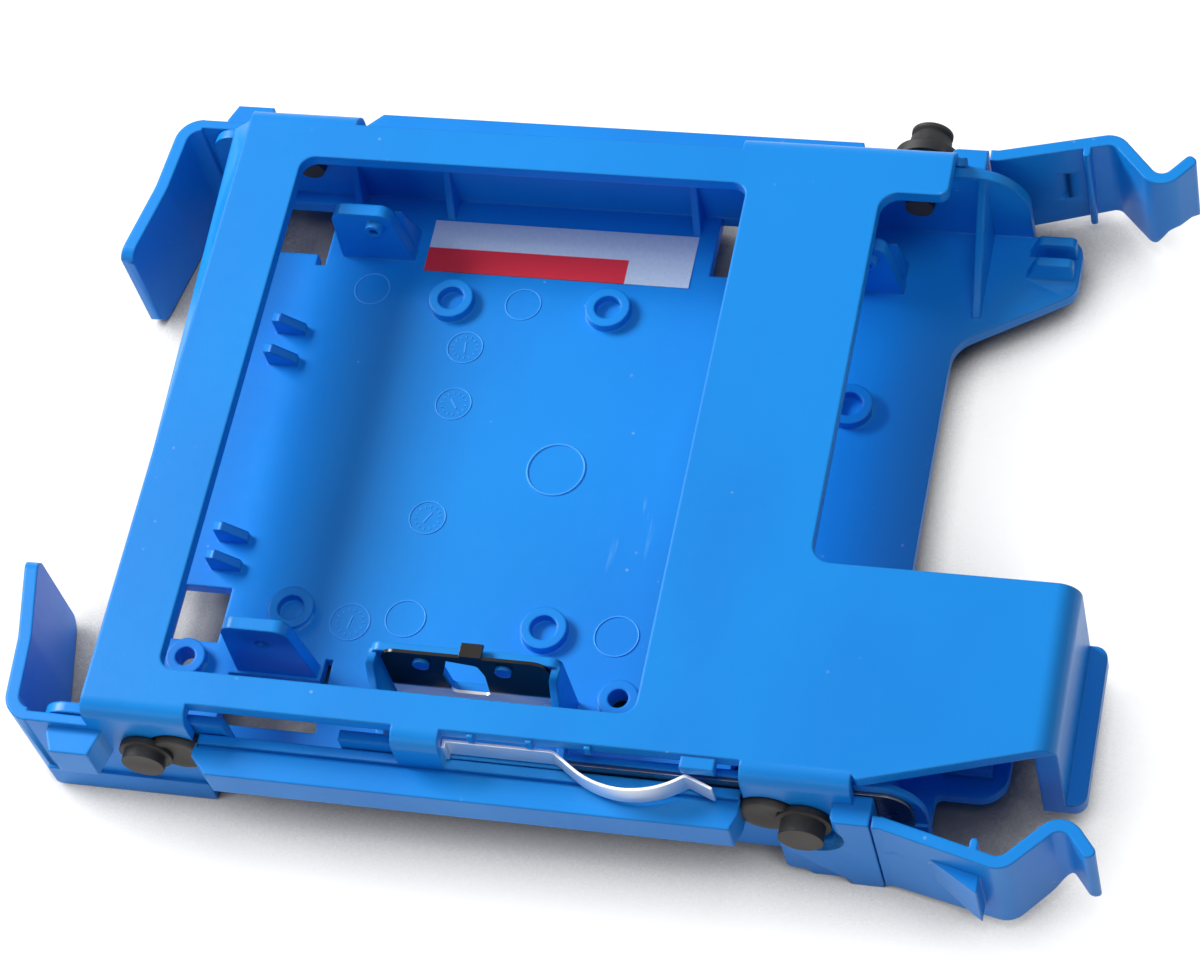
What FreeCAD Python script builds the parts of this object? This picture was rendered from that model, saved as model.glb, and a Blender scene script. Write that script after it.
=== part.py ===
import FreeCAD, Part
import math
import os

# Drive caddy for a desktop or server bay: an outer caddy that takes a 3.5 inch drive, and an
# adapter tray of the same outline that carries a 2.5 inch drive inside it.
# Drawing frame: x = 0 at the left edge of the top plate, y = 0 on the centre plane,
# z = 0 on the plate's top face, with everything hanging below it.
# At the end all pieces move together, so that the caddy stands on z = 0 around the origin.

V = FreeCAD.Vector

# ---- driving dimensions, millimetres -------------------------------------------------
bay_width = 101.6            # width of a 3.5 inch drive, and so of the adapter tray
bay_play = 0.2               # side play of the tray between the caddy walls
caddy_wall = 1.45            # caddy side walls
plate_thick = 2.0            # caddy top plate
plate_roll = 2.6             # radius of the plate's rolled near and far edges
lip_depth = 3.4              # flared lip that hangs from the plate's left edge
lip_thick = 1.3
lip_near_out = 0.1           # how far it stands out at its near and its far end
lip_far_out = 3.5
lip_near = -50.0
foot_depth = 24.5            # plate top to the feet the caddy stands on

plate_length = 109.3         # left edge to the end of the far finger
window_left = 10.0           # plate window
window_right = 79.5
window_near = -44.65
window_far = 43.55
window_radius = 2.3
finger_reach = 9.8           # length of the plate's far finger beside the notch
notch_near = -18.6
notch_radius = 3.0
apron_end = 137.2            # plate apron that carries the end skirt
apron_near = -43.4
apron_start = 110.6
apron_root = -51.0           # the apron's near edge leaves the rolled edge here
end_skirt_thick = 3.2
end_skirt_depth = 20.0
end_lip = 2.7                # outward lip at the foot of the end skirt
end_lip_thick = 2.4

side_top = 5.0               # depth of the open wall tops below the plate top
ledge_depth = 7.2            # runner: a flat ledge along each side wall, hollow from below
ledge_bottom = 12.5
ledge_y = 57.0               # outer face of the runner
ledge_left = 15.6
ledge_right = 94.8
ledge_slant = 2.6            # its left end slants back this far
ledge_wall = 1.6
groove_width = 0.45          # fine groove between wall and runner
wall_bottom = 21.0           # the walls end here between the feet
foot_top = 19.5
slot_1 = (15.6, 45.9)        # slots in the near rolled edge, x from and to
slot_2 = (52.8, 95.3)
slot_far = (17.2, 77.6)      # single recess in the far rolled edge
slot_cut = 2.65              # slots cut this far into the plate
tooth_places = (56.8, 65.2, 73.5)   # small teeth on the plate's edge over the second slot
tab_2 = (87.1, 91.9)         # and a broad one, from and to
tab_2_reach = 1.9
slot_floor = 6.8

foot_left_start = -10.5      # left foot
foot_left_end = 14.5
foot_out = 0.55
pad_left = -6.4              # raised pad over the left foot
pad_right = 1.8
pad_slant = 1.2
pad_depth = 6.3
pad_y = 56.4
pad_bottom = 12.5
foot_right_start = 103.5     # right foot and the step before it
foot_step_start = 100.0
foot_step = 22.8
foot_right_out = 1.95
foot_right_top = 13.9
skew_start = 101.2           # the block's front face ends in a slanting lower edge
skew_depth = 15.9
skew_end = (108.3, 23.2)
head_room = 4.0              # round opening in the block for the isolator's head
head_room_x = 105.2
block_start = 107.8          # block at the root of each release arm
block_end = 113.2
block_out = 2.9

wing_thick = 2.0             # finger wings at the left end
wing_depth = 24.3
wing_root = -13.3            # outer face of the wing at the root
wing_knee = -14.3
wing_knee_y = 39.4
wing_tip = -16.9
wing_tip_y = 26.4
wing_radius = 3.2
wing_knee_radius = 9.0
wing_tip_radius = 2.2        # rounding of the wing's end corners

arm_thick = 1.8              # release arms at the right end
arm_gap = 0.35               # running gap at the arm's flexing root
arm_straight = 1.2
arm_root_y = 54.6            # middle of the arm's wall at its root
arm_bulge = (131.6, 58.2)    # middle of the wall at the outermost bend
arm_valley = (138.9, 51.9)   # middle of the wall in the valley
arm_tip = (143.3, 56.2)      # middle of the wall at the tip
arm_bulge_radius = 2.6
arm_valley_radius = 2.6
arm_top = 5.0
arm_root_bottom = 23.4
arm_bulge_bottom = 21.8
barb_start = 121.5           # wedge barb on the arm's outer face
barb_end = 128.3
barb_out = 2.4
barb_top = 9.4
barb_bottom = 18.6
nub_at = 127.6               # rod on the arm's inner face
nub_radius = 0.55
nub_length = 1.6
nub_stub = 0.9               # how far the rod stands below the arm's edge

tray_floor_top = 18.0        # adapter tray, depths below the plate top
tray_floor = 2.0
tray_wall = 1.6
tray_wall_top = 4.6
tray_left = 1.2
tray_right = 110.4
ear_left = -8.0              # rounded ends of the tray's side walls
ear_left_radius = 4.0
ear_right = 119.7
ear_right_radius = 8.0
ear_right_top = 3.2          # the right ears stand a little higher than the walls
ear_step = 104.0
near_wall_low = 6.7          # tray wall beside the leaf spring

drive_gap = 70.6             # tab face to tab face, round a 2.5 inch drive
drive_centre_y = 2.2         # centre line of the 2.5 inch drive
drive_hole_pitch = 76.6      # its side screw holes
drive_hole_depth = 8.9       # holes below the plate top
pin_x = 20.9                 # pins of the left pair of tabs
tab_reach_near = (6.3, 6.1)  # the tabs run this far to the left and right of the pin
tab_reach_far = (7.4, 4.4)
tab_top = 4.6
tab_top_far = 6.1
tab_taper_left = 0.8         # the tabs narrow towards the top
tab_taper_right = 1.8
tab_thick = 2.0
tab_radius = 2.0
tab_pin_radius = 1.4         # pin that enters the drive's side hole
tab_pin_length = 1.2
tab_pin_bore = 0.7
floor_openings = ((0.0, 11.0, 37.5, 46.8), (9.5, 11.0, 35.6, 38.0),
                  (71.8, 88.0, 38.4, 49.0), (86.5, 88.0, 36.1, 39.0),
                  (13.5, 28.7, -44.0, -35.6), (27.5, 28.7, -36.0, -32.0),
                  (90.1, 105.3, -44.0, -35.6), (104.1, 105.3, -36.0, -32.0))

ring_outer = 3.45            # rests that the drive lies on
ring_inner = 2.0
ring_height = 1.5
ring_places = ((32.9, 30.4), (57.6, 30.7), (20.7, -24.8), (59.1, -24.3), (97.1, 17.0))
boss_outer = 3.0
boss_hole = 1.5
boss_height = 1.6
boss_places = ((6.8, -34.45), (72.3, -34.45))
fin_thick = 1.5
fin_length = 4.6
fin_height = 3.6
fin_places = (23.4, 17.8, -13.5, -18.3)
fin_left = 6.4
rest_window = (2.7, 10.5, -31.0, -21.9)
rib_thick = 1.2
rear_rib_places = (14.6, 29.4, 68.6)
rear_rib_reach = 3.6
ear_rib_left = -3.2
ear_rib_right = 113.2
ear_rib_reach = 15.0
ear_rib_left_reach = 1.2
pad_tip = 127.4              # far right pad with two ridges
pad_far = 49.3
pad_waist = 39.7
pad_root = 29.4
near_pad_far = -30.0
near_pad_near = -43.5
near_pad_tip = 128.8
ridge_height = 3.6
ridge_thick = 1.5
ridge_places = (46.4, 42.7, -39.8, -36.1)

isolator_pitch_left = 7.6    # rubber isolators, x of the left and right pairs
isolator_pitch_right = 103.3
isolator_depth = 10.4        # below the plate top: a 3.5 inch drive's side hole
isolator_head = 3.15
isolator_neck = 2.1
isolator_flange = 3.9
isolator_flange_thick = 1.0
isolator_groove = 0.5        # its groove is this deep, and this far behind the end
isolator_pin_reach = 1.2
isolator_out = {"near_left": 55.2, "near_right": 56.0, "far_left": 55.3, "far_right": 61.5}
isolator_wide = 5.0          # the far right one has a second, wider flange outside the block's face
isolator_fit = 0.15
entry_depth = 9.9
entry_radius = 4.6           # large lobe of the keyhole the isolator enters by
entry_offset = 5.1
slot_beyond = 1.6            # the slot runs on past the isolator's neck

clip_left = 40.0             # steel ground bracket
clip_right = 64.8
clip_thick = 0.5
clip_top = 3.7
clip_face_y = -36.3
clip_foot = 3.0
clip_radius = 2.4
stake_places = (45.9, 58.0)
stake_radius = 1.3
stake_depth = 6.2
clip_wall_left = 38.2
clip_wall_right = 66.3
leaf_thick = 0.4             # steel leaf that touches the bay wall
leaf_top = 2.7
leaf_height = 3.7
leaf_start = 53.2
leaf_bend = 68.6
leaf_inner_y = -50.1
leaf_corner = (79.5, -57.6)   # where the bow's two straight sides would meet
leaf_bow = 13.0
leaf_return = (87.6, -51.6)
leaf_tip = (91.6, -53.2)
strip_left = 70.0            # steel ground strip beside the tray wall
strip_right = 118.0
strip_thick = 0.4
strip_top = 4.9
strip_bottom = 13.0

label_left = 27.0            # plain label on the tray floor
label_right = 69.0
label_near = 35.9
label_far = 45.2
label_thick = 0.15

# ---- values that follow from them ----------------------------------------------------
tray_half = bay_width / 2
inner_y = tray_half + bay_play
outer_y = inner_y + caddy_wall
floor_z = -tray_floor_top
tray_bottom = floor_z - tray_floor
tray_inner = tray_half - tray_wall
tab_far_y = drive_centre_y + drive_gap / 2
tab_near_y = drive_centre_y - drive_gap / 2
inner_skirt_x = apron_end - end_skirt_thick
notch_left = plate_length - finger_reach
slot_reach = outer_y - slot_cut


# ---- small building blocks -----------------------------------------------------------
def box(x0, x1, y0, y1, z0, z1):
    return Part.makeBox(x1 - x0, y1 - y0, z1 - z0, V(x0, y0, z0))


def rounded_wire(points, radii):
    # closed outline through the points, each corner rounded by its own radius
    count = len(points)
    edges = []
    ends = []
    for i in range(count):
        here = points[i]
        before = (points[i - 1] - here).normalize()
        after = (points[(i + 1) % count] - here).normalize()
        if radii[i] <= 0:
            ends.append((here, here))
            continue
        half = before.getAngle(after) / 2
        reach = radii[i] / math.tan(half)
        middle = (before + after).normalize()
        centre = here + middle * (radii[i] / math.sin(half))
        start = here + before * reach
        end = here + after * reach
        edges.append(Part.Arc(start, centre - middle * radii[i], end).toShape())
        ends.append((start, end))
    for i in range(count):
        start = ends[i][1]
        end = ends[(i + 1) % count][0]
        if start.distanceToPoint(end) > 1e-6:
            edges.append(Part.LineSegment(start, end).toShape())
    return Part.Wire(Part.__sortEdges__(edges))


def prism(points, radii, plane, low, high):
    # outline in one plane, extruded along the plane's normal from low to high
    if isinstance(radii, (int, float)):
        radii = [radii] * len(points)
    if plane == "xy":
        corners = [V(a, b, low) for a, b in points]
        along = V(0, 0, high - low)
    elif plane == "xz":
        corners = [V(a, low, b) for a, b in points]
        along = V(0, high - low, 0)
    else:
        corners = [V(low, a, b) for a, b in points]
        along = V(high - low, 0, 0)
    return Part.Face(rounded_wire(corners, radii)).extrude(along)


def rod(radius, start, direction, length):
    return Part.makeCylinder(radius, length, start, direction)


def mirrored(shape):
    return shape.mirror(V(0, 0, 0), V(0, 1, 0))


def joined(shapes):
    whole = shapes[0].multiFuse(shapes[1:])
    return whole.removeSplitter()


def thick_path(points, radii, thick, square=False):
    # wall of even thickness along an open path with rounded bends, as a face in plan
    def side(sign):
        shifted = []
        for i in range(len(points)):
            if i == 0:
                before = (points[1] - points[0]).normalize()
                after = before
            elif i == len(points) - 1:
                before = (points[i] - points[i - 1]).normalize()
                after = before
            else:
                before = (points[i] - points[i - 1]).normalize()
                after = (points[i + 1] - points[i]).normalize()
            left = V(-before.y, before.x, 0)
            other = V(-after.y, after.x, 0)
            mitre = (left + other).normalize()
            shifted.append(points[i] + mitre * (sign * thick / 2 / mitre.dot(left)))
        return shifted
    first = side(1)
    second = side(-1)
    second.reverse()
    turn = []
    for i in range(1, len(points) - 1):
        before = points[i] - points[i - 1]
        after = points[i + 1] - points[i]
        turn.append(1 if before.cross(after).z > 0 else -1)
    end_radius = 0 if square else thick * 0.4
    first_radii = [0.0]
    for i in range(1, len(points) - 1):
        first_radii.append(max(0.2, radii[i] - turn[i - 1] * thick / 2))
    first_radii.append(end_radius)
    second_radii = [0.0]
    for i in range(1, len(points) - 1):
        second_radii.append(max(0.2, radii[i] + turn[i - 1] * thick / 2))
    second_radii.append(end_radius)
    second_radii.reverse()
    return Part.Face(rounded_wire(first + second, first_radii + second_radii))


# ---- outer caddy ---------------------------------------------------------------------
def caddy_plate():
    # top plate: near and far edges rolled down, a lip at the left, and the apron at the right
    outline = [(0, -outer_y), (apron_start, -outer_y), (apron_start, notch_near),
               (notch_left, notch_near), (notch_left, window_far), (plate_length, window_far),
               (plate_length, outer_y), (0, outer_y)]
    radii = [0, 0, 0, notch_radius, notch_radius, 1.5, 0, 0]
    slab = prism(outline, radii, "xy", -side_top, 0)
    rolled = [edge for edge in slab.Edges
              if edge.BoundBox.ZMin > -0.01 and edge.Length > plate_length / 2
              and abs(abs(edge.CenterOfMass.y) - outer_y) < 0.01]
    slab = slab.makeFillet(plate_roll, rolled)
    plate = slab.cut(box(-1, plate_length + 9, -inner_y, inner_y, -side_top - 1, -plate_thick))
    apron = prism([(notch_left + 4, -outer_y + plate_roll), (apron_start - 0.3, -outer_y + plate_roll),
                   (apron_start + 0.8, apron_root), (apron_end, apron_near), (apron_end, notch_near),
                   (notch_left + 4, notch_near)], [0, 0, 0.6, 0, 0.8, 0], "xy", -plate_thick, 0)
    window = prism([(window_left, window_near), (window_right, window_near),
                    (window_right, window_far), (window_left, window_far)],
                   window_radius, "xy", -side_top, 1)
    return joined([plate, apron, left_lip()]).cut(window)


def left_lip():
    # lip under the plate's left edge, flared outward more and more towards the far side
    sections = []
    for y, out in ((lip_near, lip_near_out), (-lip_near, lip_far_out)):
        corners = [(0.3, -0.3), (-out, -lip_depth), (-out + lip_thick * 0.7, -lip_depth - 0.4),
                   (lip_thick + 0.3, -plate_thick + 0.1), (lip_thick + 0.3, -0.3)]
        points = [V(x, y, z) for x, z in corners]
        sections.append(Part.makePolygon(points + [points[0]]))
    return Part.makeLoft(sections, True, True)


def end_skirt():
    # thick skirt hanging from the apron's end, with an outward lip at its foot
    skirt = box(inner_skirt_x, apron_end, apron_near, notch_near, -end_skirt_depth, -plate_thick / 2)
    lip = prism([(inner_skirt_x + 1, apron_near), (apron_end + end_lip, apron_near),
                 (apron_end + end_lip, notch_near), (inner_skirt_x + 1, notch_near)],
                [0, end_lip * 0.7, end_lip * 0.7, 0], "xy",
                -end_skirt_depth, -end_skirt_depth + end_lip_thick)
    return joined([skirt, lip])


def end_roll():
    # what the rolled end edge leaves out of the apron's square corner
    x = apron_end - end_skirt_thick
    corner = box(x, apron_end + 1, apron_near - 1, notch_near + 1, -end_skirt_thick, 1)
    return corner.cut(rod(end_skirt_thick, V(x, apron_near - 2, -end_skirt_thick), V(0, 1, 0),
                          notch_near - apron_near + 4))


def keyhole(x_neck, towards):
    # opening for an isolator: a wide lobe to enter by and a slot that holds its neck
    lobe_x = x_neck + towards * entry_offset
    lobe = rod(entry_radius, V(lobe_x, -outer_y - 1, -entry_depth), V(0, 1, 0), caddy_wall + 2)
    end_x = x_neck - towards * slot_beyond
    slot_low = min(end_x, lobe_x)
    slot_high = max(end_x, lobe_x)
    half = isolator_neck + isolator_fit
    slot = box(slot_low, slot_high, -outer_y - 1, -inner_y + 1,
               -isolator_depth - half, -isolator_depth + half)
    end = rod(half, V(end_x, -outer_y - 1, -isolator_depth), V(0, 1, 0), caddy_wall + 2)
    return joined([lobe, slot, end])


def side_wall():
    # near side of the caddy: wall, runner, pad, feet and the block at the arm's root
    top_in = -plate_roll - 0.4
    outline = [(wing_root + wing_radius, -side_top), (0.5, -side_top), (0.5, top_in),
               (apron_start, top_in), (apron_start, -side_top), (block_end, -side_top),
               (block_end, -foot_depth), (foot_right_start, -foot_depth),
               (foot_right_start, -wall_bottom), (foot_left_end, -wall_bottom),
               (foot_left_end, -foot_depth), (wing_root + wing_radius, -foot_depth)]
    radii = [0, 0, 0, 0, 0, 0, 0, 0.8, 0.8, 0.8, 0.8, 0]
    wall = prism(outline, radii, "xz", -outer_y, -inner_y)

    skin = outer_y - 0.2
    runner = prism([(ledge_left, -skin), (ledge_left, -ledge_y + ledge_slant),
                    (ledge_left + ledge_slant, -ledge_y), (ledge_right - 0.9, -ledge_y),
                    (ledge_right, -ledge_y + ledge_slant), (ledge_right, -skin)],
                   0, "xy", -ledge_bottom, -ledge_depth)
    hollow = box(ledge_left + ledge_wall + 1.2, ledge_right - ledge_wall, -ledge_y + ledge_wall,
                 -outer_y, -ledge_bottom - 1, -ledge_depth - ledge_wall)
    groove = box(ledge_left + 0.4, ledge_right - 0.4, -outer_y - groove_width, -outer_y,
                 -ledge_depth - groove_width, -ledge_depth + 1)
    runner = runner.cut([hollow, groove])

    pad = prism([(pad_left, -skin), (pad_left, -outer_y - pad_slant), (pad_left + pad_slant, -pad_y),
                 (pad_right - pad_slant, -pad_y), (pad_right, -skin)],
                0, "xy", -pad_bottom, -pad_depth)
    foot_y = outer_y + foot_out
    left_foot = prism([(foot_left_start, -foot_depth), (foot_left_end, -foot_depth),
                       (foot_left_end, -foot_top), (foot_left_start, -foot_top)],
                      [0.8, 0.8, 0, 0], "xz", -foot_y, -skin)
    block_y = outer_y + block_out
    step_y = outer_y + foot_right_out
    right_foot = prism([(foot_right_start - 0.4, -foot_depth), (block_end, -foot_depth),
                        (block_end, -foot_right_top), (foot_step_start - 0.5, -foot_right_top),
                        (foot_step_start - 0.5, -foot_step), (foot_step_start + 2.2, -foot_step - 0.5)],
                       [0, 0, 0, 0, 0.8, 0], "xz", -step_y, -skin)
    skew = prism([(skew_end[0], -skew_end[1]), (block_end - 0.7, -foot_depth + 0.7),
                  (block_end, -foot_depth), (block_end, -isolator_depth), (skew_start, -isolator_depth),
                  (skew_start, -skew_depth)], [2.0, 0, 0, 0, 0, 0], "xz", -block_y, -skin)
    block = prism([(block_start, -inner_y), (block_start, -block_y),
                   (block_end, -block_y), (block_end, -inner_y)],
                  [0, 1.0, 0, 0], "xy", -foot_depth, -side_top)
    rooms = []
    for x, radius in ((head_room_x, head_room), (isolator_pitch_right, isolator_flange + isolator_fit)):
        rooms.append(rod(radius, V(x, -outer_y, -isolator_depth), V(0, -1, 0), block_out + 1))
    outer = joined([right_foot, skew, block]).cut(rooms)
    wall = wall.cut([keyhole(isolator_pitch_left, 1), keyhole(isolator_pitch_right, -1)])
    outer = outer.cut(keyhole(isolator_pitch_right, -1))
    return joined([wall, runner, pad, left_foot, outer])


def wing():
    # near finger wing: leaves the side wall at the left end, turns inward and flares out
    points = [V(0.5, -outer_y + caddy_wall / 2, 0), V(wing_root + wing_thick / 2, -outer_y + wing_thick / 2, 0),
              V(wing_knee + wing_thick / 2, -wing_knee_y, 0), V(wing_tip + wing_thick / 2, -wing_tip_y, 0)]
    plan = thick_path(points, [0, wing_radius, wing_knee_radius, 0], wing_thick, square=True)
    plan.translate(V(0, 0, -wing_depth))
    bent = plan.extrude(V(0, 0, wing_depth - side_top))
    ends = prism([(-wing_tip_y, -side_top), (-wing_tip_y, -wing_depth), (-outer_y - 1, -wing_depth),
                  (-outer_y - 1, -side_top)], [wing_tip_radius, wing_tip_radius, 0, 0], "yz",
                 wing_tip - 1, 1)
    keep = box(wing_tip - 1, wing_root + wing_radius + 0.5, -outer_y - 1, -wing_tip_y + 1,
               -foot_depth, 0)
    return bent.common(ends).common(keep)


def edge_slots():
    # openings through the rolled edges: two near ones, and one long recess at the far side
    cuts = []
    for low, high in (slot_1, slot_2):
        cuts.append(box(low, high, -outer_y - 1, -slot_reach, -slot_floor, 1))
    cuts.append(box(slot_far[0], slot_far[1], slot_reach, outer_y + 1, -slot_floor, 1))
    return cuts


def slot_teeth():
    # teeth that the plate's edge keeps over the second slot
    teeth = [box(tab_2[0], tab_2[1], -slot_reach - tab_2_reach, -slot_reach + 0.5, -plate_thick, -0.3)]
    for x in tooth_places:
        teeth.append(box(x, x + 0.9, -slot_reach - 0.6, -slot_reach + 0.5, -plate_thick, -0.3))
    return teeth


def caddy_frame():
    near = joined([side_wall(), wing()])
    far = mirrored(near)
    frame = joined([caddy_plate(), end_skirt(), near, far])
    return joined([frame.cut(edge_slots() + [end_roll()])] + slot_teeth())


# ---- release arms --------------------------------------------------------------------
def release_arm():
    # near arm: runs out from the block, bulges outward, dips into a valley and hooks out
    root_x = block_end + arm_gap
    points = [V(root_x, -arm_root_y, 0), V(root_x + arm_straight, -arm_root_y, 0),
              V(arm_bulge[0], -arm_bulge[1] - 0.6, 0),
              V(arm_valley[0], -arm_valley[1] + 1.0, 0), V(arm_tip[0], -arm_tip[1], 0)]
    radii = [0, 2.0, arm_bulge_radius, arm_valley_radius, 0]
    plan = thick_path(points, radii, arm_thick)
    plan.translate(V(0, 0, -arm_root_bottom))
    wall = plan.extrude(V(0, 0, arm_root_bottom - arm_top))
    lower = prism([(root_x - 1, -arm_root_bottom - 1), (root_x, -arm_root_bottom),
                   (arm_bulge[0], -arm_bulge_bottom), (arm_valley[0] - 1.5, -arm_bulge_bottom + 0.6),
                   (arm_valley[0] + 1.0, -arm_bulge_bottom + 5.0),
                   (arm_tip[0] - 0.6, -arm_bulge_bottom + 4.6),
                   (arm_tip[0] + 3, -arm_bulge_bottom + 1.2),
                   (arm_tip[0] + 3, -arm_root_bottom - 1)],
                  [0, 0, 2.0, 2.0, 1.5, 0, 0, 0], "xz", -outer_y - 12, -inner_y + 12)
    wall = wall.cut(lower)

    slope = (arm_bulge[1] + 0.6 - arm_root_y) / (arm_bulge[0] - root_x)
    barb_y0 = -arm_root_y - (barb_start - root_x) * slope
    barb_y1 = -arm_root_y - (barb_end - root_x) * slope
    wedge = prism([(barb_start, barb_y0 - arm_thick / 2 + 0.1),
                   (barb_end, barb_y1 - arm_thick / 2 - barb_out),
                   (barb_end, barb_y1)],
                  0, "xy", -barb_bottom, -barb_top)
    ramp = prism([(barb_start - 1, -barb_bottom + 3.4), (barb_end + 1, -barb_bottom - 1.2),
                  (barb_start - 1, -barb_bottom - 1.2)],
                 0, "xz", barb_y1 - 6, barb_y0 + 3)
    nub_y = -arm_root_y - (nub_at - root_x) * slope + arm_thick / 2
    low = -arm_bulge_bottom - nub_stub
    nub = rod(nub_radius, V(nub_at, nub_y + nub_length - nub_radius, low), V(0, 0, 1), -arm_top - low)
    web = box(nub_at - nub_radius, nub_at + nub_radius, nub_y - 0.3, nub_y + nub_length - nub_radius,
              -arm_bulge_bottom + 0.6, -arm_top)
    # hollow on the inner face, behind the barb
    hollow = prism([(barb_start + 0.6, barb_y0 + arm_thick / 2 + 0.2),
                    (barb_end - 1.3, barb_y1 - arm_thick / 2 - barb_out + 1.4),
                    (barb_end - 1.3, barb_y1 + arm_thick / 2 + 0.2)],
                   0, "xy", -barb_bottom + 1.4, -barb_top - 1.2)
    return joined([wall, wedge.cut(ramp), nub, web]).cut(hollow)


# ---- adapter tray --------------------------------------------------------------------
def tray_floor_plate():
    outline = [(tray_left, -tray_half), (ear_right - 0.6, -tray_half),
               (ear_right - 0.6, near_pad_near), (near_pad_tip, near_pad_near),
               (near_pad_tip, near_pad_far), (tray_right, near_pad_far + 11),
               (tray_right, pad_root), (pad_tip, pad_waist), (pad_tip, pad_far),
               (ear_right - 0.6, pad_far), (ear_right - 0.6, tray_half), (tray_left, tray_half)]
    radii = [0, 0, 1.0, 4.0, 4.0, 6.0, 5.0, 3.0, 3.0, 0, 0, 0]
    return prism(outline, radii, "xy", tray_bottom, floor_z)


def tray_side(sign):
    # side wall whose two ends are rounded ears
    outline = [(ear_left, tray_bottom), (ear_left, -tray_wall_top), (ear_step, -tray_wall_top),
               (ear_step + 1.4, -ear_right_top), (ear_right, -ear_right_top), (ear_right, tray_bottom)]
    wall = prism(outline, [0, ear_left_radius, 0, 0, ear_right_radius, 0], "xz",
                 -tray_half, -tray_inner)
    return wall if sign < 0 else mirrored(wall)


def gusset(x_mid, y_wall, reach, height, sign):
    # upright triangular rib between a side wall and the floor
    far_y = y_wall - sign * reach
    return prism([(y_wall + sign * 0.2, floor_z - 0.3), (y_wall + sign * 0.2, floor_z + height),
                  (far_y, floor_z + 0.4), (far_y, floor_z - 0.3)],
                 0, "yz", x_mid - rib_thick / 2, x_mid + rib_thick / 2)


def drive_tab(hole_x, face_y, sign):
    # springy tab with a pin for the drive's side hole; sign +1 at the far side
    reach = tab_reach_far if sign > 0 else tab_reach_near
    x0 = hole_x - reach[0]
    x1 = hole_x + reach[1]
    back_y = face_y + sign * tab_thick
    low_y = min(face_y, back_y)
    high_y = max(face_y, back_y)
    top = -tab_top_far if sign > 0 else -tab_top
    body = prism([(x0, floor_z - 0.3), (x0 + tab_taper_left, top), (x1 - tab_taper_right, top),
                  (x1, floor_z - 0.3)], [0, tab_radius, tab_radius, 0], "xz", low_y, high_y)
    pin = rod(tab_pin_radius, V(hole_x, face_y + sign * 0.3, -drive_hole_depth),
              V(0, -sign, 0), tab_pin_length + 0.3)
    bore = rod(tab_pin_bore, V(hole_x, face_y - sign * (tab_pin_length + 1), -drive_hole_depth),
               V(0, sign, 0), tab_thick + tab_pin_length + 2)
    if sign < 0:
        sink = rod(tab_pin_radius - 0.2, V(hole_x, back_y - sign * 0.8, -drive_hole_depth),
                   V(0, sign, 0), 2)
        return joined([body, pin]).cut([bore, sink])
    brace = prism([(back_y - 0.2, floor_z - 0.3), (back_y - 0.2, top - 1.0),
                   (back_y + 3.4, floor_z + 0.5), (back_y + 3.4, floor_z - 0.3)],
                  0, "yz", x1 - 1.4, x1 - 0.2)
    return joined([body, pin, brace]).cut(bore)


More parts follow.
